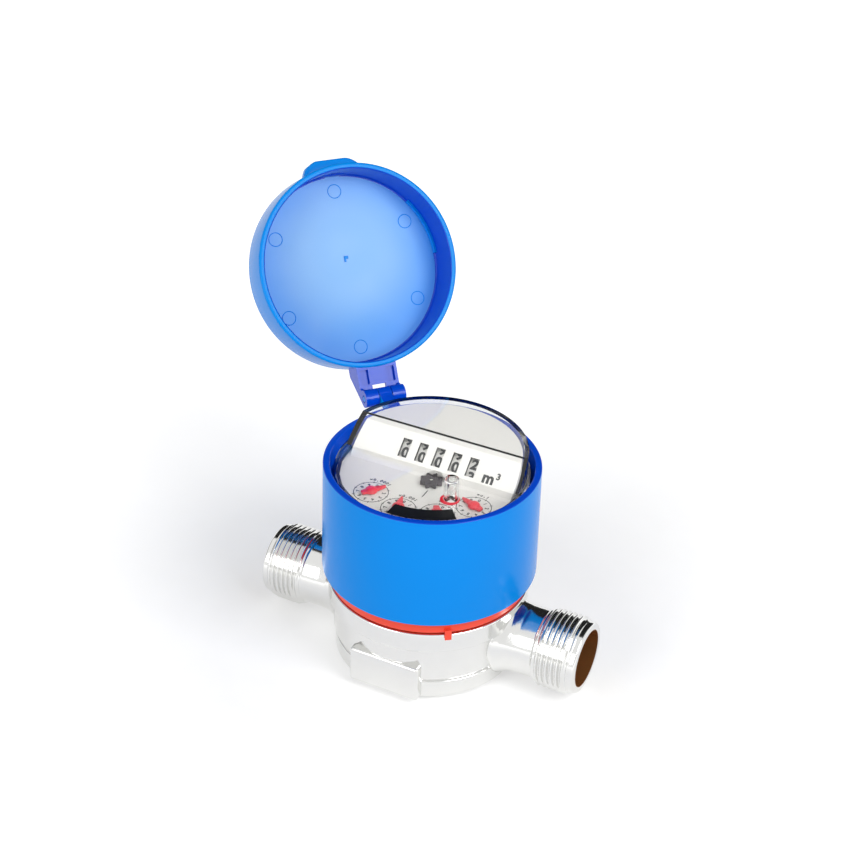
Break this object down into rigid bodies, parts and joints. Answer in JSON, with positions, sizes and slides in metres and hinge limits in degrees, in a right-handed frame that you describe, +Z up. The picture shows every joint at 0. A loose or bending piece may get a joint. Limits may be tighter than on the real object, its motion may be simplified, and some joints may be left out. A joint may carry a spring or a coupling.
{
  "type": "water meter",
  "caption": "Single-jet dry-dial water meter with two threaded stubs, a turnable register under a clear cover and a hinged blue lid.",
  "frame": {"origin": "middle of the flat base, on the register's axis", "axes": "+X along the pipe towards the outlet, +Y to the dial's twelve o'clock, +Z up"},
  "size_m": [0.1465, 0.1198, 0.1375],
  "materials": {
    "nickel_plated_brass": "bright nickel plate",
    "turned_brass": "turned",
    "stainless_steel": "ground",
    "sintered_ferrite": "dull",
    "black_rubber": "matt",
    "red_plastic": "satin",
    "blue_plastic": "satin",
    "white_plastic": "matt",
    "natural_acetal": "matt",
    "dark_grey_acetal": "matt",
    "clear_polycarbonate": "clear moulded plastic"
  },
  "bodies": {
    "casting": {"meter_body": "nickel_plated_brass", "inlet_strainer": "natural_acetal", "lower_pivot": "stainless_steel", "separator_plate": "natural_acetal", "plate_o_ring": "black_rubber", "clamp_ring": "turned_brass", "red_lock_ring": "red_plastic"},
    "vane_wheel": {"impeller": "natural_acetal", "impeller_magnet": "sintered_ferrite", "impeller_shaft": "stainless_steel"},
    "register": {"register_cup": "white_plastic", "lower_plate": "natural_acetal", "upper_plate": "natural_acetal", "dial_plate": "white_plastic", "cover_seal": "black_rubber", "clear_cover": "clear_polycarbonate", "roller_shaft": "stainless_steel", "carry_shaft": "stainless_steel"},
    "follower": {"follower_magnet": "sintered_ferrite", "follower_shaft": "stainless_steel"},
    "star": {"star_arbor": "natural_acetal", "star_wheel": "dark_grey_acetal"},
    "reduction": {"reduction_wheel": "natural_acetal"},
    "idler": {"idler_wheel": "natural_acetal"},
    "pointer_a": {"pointer_arbor_1": "natural_acetal", "pointer_1": "red_plastic"},
    "step_a": {"step_wheel_1": "natural_acetal"},
    "pointer_b": {"pointer_arbor_2": "natural_acetal", "pointer_2": "red_plastic"},
    "step_b": {"step_wheel_2": "natural_acetal"},
    "pointer_c": {"pointer_arbor_3": "natural_acetal", "pointer_3": "red_plastic"},
    "step_c": {"step_wheel_3": "natural_acetal"},
    "pointer_d": {"pointer_arbor_4": "natural_acetal", "pointer_4": "red_plastic"},
    "worm": {"worm_arbor": "natural_acetal"},
    "drum_1": {"roller_1": "white_plastic"},
    "drum_2": {"roller_2": "white_plastic"},
    "drum_3": {"roller_3": "white_plastic"},
    "drum_4": {"roller_4": "white_plastic"},
    "drum_5": {"roller_5": "white_plastic"},
    "carry_1": {"carry_pinion_1": "natural_acetal"},
    "carry_2": {"carry_pinion_2": "natural_acetal"},
    "carry_3": {"carry_pinion_3": "natural_acetal"},
    "carry_4": {"carry_pinion_4": "natural_acetal"},
    "cap": {"cap_shroud": "blue_plastic", "hinge_pin": "blue_plastic"},
    "lid": {"lid": "blue_plastic"}
  },
  "joints": [
    {"name": "impeller_spin", "type": "hinge", "parent": "casting", "child": "vane_wheel", "pos_m": [0, 0, 0.0175], "axis": [0, 0, 1], "continuous": true},
    {"name": "register_turn", "type": "hinge", "parent": "casting", "child": "register", "pos_m": [0, 0, 0.05], "axis": [0, 0, 1], "range_deg": [-175, 175]},
    {"name": "cap_turn", "type": "hinge", "parent": "register", "child": "cap", "pos_m": [0, 0, 0.05], "axis": [0, 0, 1], "range_deg": [-170, 170]},
    {"name": "lid_hinge", "type": "hinge", "parent": "cap", "child": "lid", "pos_m": [-0.03344, 0.03011, 0.0705], "axis": [-0.6691, -0.7431, 0], "range_deg": [-121.5, 8]},
    {"name": "follower_spin", "type": "hinge", "parent": "register", "child": "follower", "pos_m": [0, 0, 0.04], "axis": [0, 0, 1], "continuous": true},
    {"name": "star_spin", "type": "hinge", "parent": "register", "child": "star", "pos_m": [0.002, -0.0046, 0.05], "axis": [0, 0, 1], "continuous": true},
    {"name": "reduction_spin", "type": "hinge", "parent": "register", "child": "reduction", "pos_m": [-0.00248, -0.0117, 0.05], "axis": [0, 0, 1], "continuous": true},
    {"name": "idler_spin", "type": "hinge", "parent": "register", "child": "idler", "pos_m": [-0.00662, -0.01097, 0.05], "axis": [0, 0, 1], "continuous": true},
    {"name": "pointer_a_spin", "type": "hinge", "parent": "register", "child": "pointer_a", "pos_m": [-0.0124, -0.01817, 0.05], "axis": [0, 0, 1], "continuous": true},
    {"name": "step_a_spin", "type": "hinge", "parent": "register", "child": "step_a", "pos_m": [-0.0091, -0.02304, 0.05], "axis": [0, 0, 1], "continuous": true},
    {"name": "pointer_b_spin", "type": "hinge", "parent": "register", "child": "pointer_b", "pos_m": [-0.00077, -0.02199, 0.05], "axis": [0, 0, 1], "continuous": true},
    {"name": "step_b_spin", "type": "hinge", "parent": "register", "child": "step_b", "pos_m": [0.00462, -0.02434, 0.05], "axis": [0, 0, 1], "continuous": true},
    {"name": "pointer_c_spin", "type": "hinge", "parent": "register", "child": "pointer_c", "pos_m": [0.0111, -0.01899, 0.05], "axis": [0, 0, 1], "continuous": true},
    {"name": "step_c_spin", "type": "hinge", "parent": "register", "child": "step_c", "pos_m": [0.01691, -0.01811, 0.05], "axis": [0, 0, 1], "continuous": true},
    {"name": "pointer_d_spin", "type": "hinge", "parent": "register", "child": "pointer_d", "pos_m": [0.01953, -0.01012, 0.05], "axis": [0, 0, 1], "continuous": true},
    {"name": "worm_spin", "type": "hinge", "parent": "register", "child": "worm", "pos_m": [0.01646, -0.00052, 0.05], "axis": [0, 0, 1], "continuous": true},
    {"name": "drum_5_spin", "type": "hinge", "parent": "register", "child": "drum_5", "pos_m": [0.01254, 0.00888, 0.0651], "axis": [1, 0, 0], "continuous": true},
    {"name": "drum_4_spin", "type": "hinge", "parent": "register", "child": "drum_4", "pos_m": [0.00657, 0.00888, 0.0651], "axis": [1, 0, 0], "continuous": true},
    {"name": "drum_3_spin", "type": "hinge", "parent": "register", "child": "drum_3", "pos_m": [0.0006, 0.00888, 0.0651], "axis": [1, 0, 0], "continuous": true},
    {"name": "drum_2_spin", "type": "hinge", "parent": "register", "child": "drum_2", "pos_m": [-0.00537, 0.00888, 0.0651], "axis": [1, 0, 0], "continuous": true},
    {"name": "drum_1_spin", "type": "hinge", "parent": "register", "child": "drum_1", "pos_m": [-0.01134, 0.00888, 0.0651], "axis": [1, 0, 0], "continuous": true},
    {"name": "carry_4_spin", "type": "hinge", "parent": "register", "child": "carry_4", "pos_m": [0.00955, 0.01689, 0.0651], "axis": [1, 0, 0], "continuous": true},
    {"name": "carry_3_spin", "type": "hinge", "parent": "register", "child": "carry_3", "pos_m": [0.00359, 0.01689, 0.0651], "axis": [1, 0, 0], "continuous": true},
    {"name": "carry_2_spin", "type": "hinge", "parent": "register", "child": "carry_2", "pos_m": [-0.00238, 0.01689, 0.0651], "axis": [1, 0, 0], "continuous": true},
    {"name": "carry_1_spin", "type": "hinge", "parent": "register", "child": "carry_1", "pos_m": [-0.00835, 0.01689, 0.0651], "axis": [1, 0, 0], "continuous": true}
  ],
  "couplings": [
    {"joint": "follower_spin", "follows": "impeller_spin", "ratio": 1},
    {"joint": "star_spin", "follows": "impeller_spin", "ratio": -0.8},
    {"joint": "reduction_spin", "follows": "impeller_spin", "ratio": 0.2},
    {"joint": "idler_spin", "follows": "impeller_spin", "ratio": -0.13333},
    {"joint": "pointer_a_spin", "follows": "impeller_spin", "ratio": 0.05},
    {"joint": "step_a_spin", "follows": "impeller_spin", "ratio": -0.02},
    {"joint": "pointer_b_spin", "follows": "impeller_spin", "ratio": 0.005},
    {"joint": "step_b_spin", "follows": "impeller_spin", "ratio": -0.002},
    {"joint": "pointer_c_spin", "follows": "impeller_spin", "ratio": 0.0005},
    {"joint": "step_c_spin", "follows": "impeller_spin", "ratio": -0.0002},
    {"joint": "pointer_d_spin", "follows": "impeller_spin", "ratio": 0.00005},
    {"joint": "worm_spin", "follows": "impeller_spin", "ratio": -0.0001},
    {"joint": "drum_5_spin", "follows": "impeller_spin", "ratio": -0.000005},
    {"joint": "drum_4_spin", "follows": "impeller_spin", "ratio": -0.0000005},
    {"joint": "drum_3_spin", "follows": "impeller_spin", "ratio": -0.00000005},
    {"joint": "drum_2_spin", "follows": "impeller_spin", "ratio": -0.000000005},
    {"joint": "drum_1_spin", "follows": "impeller_spin", "ratio": -0.0000000005},
    {"joint": "carry_4_spin", "follows": "impeller_spin", "ratio": 0.00000125},
    {"joint": "carry_3_spin", "follows": "impeller_spin", "ratio": 0.000000125},
    {"joint": "carry_2_spin", "follows": "impeller_spin", "ratio": 0.0000000125},
    {"joint": "carry_1_spin", "follows": "impeller_spin", "ratio": 0.00000000125}
  ]
}
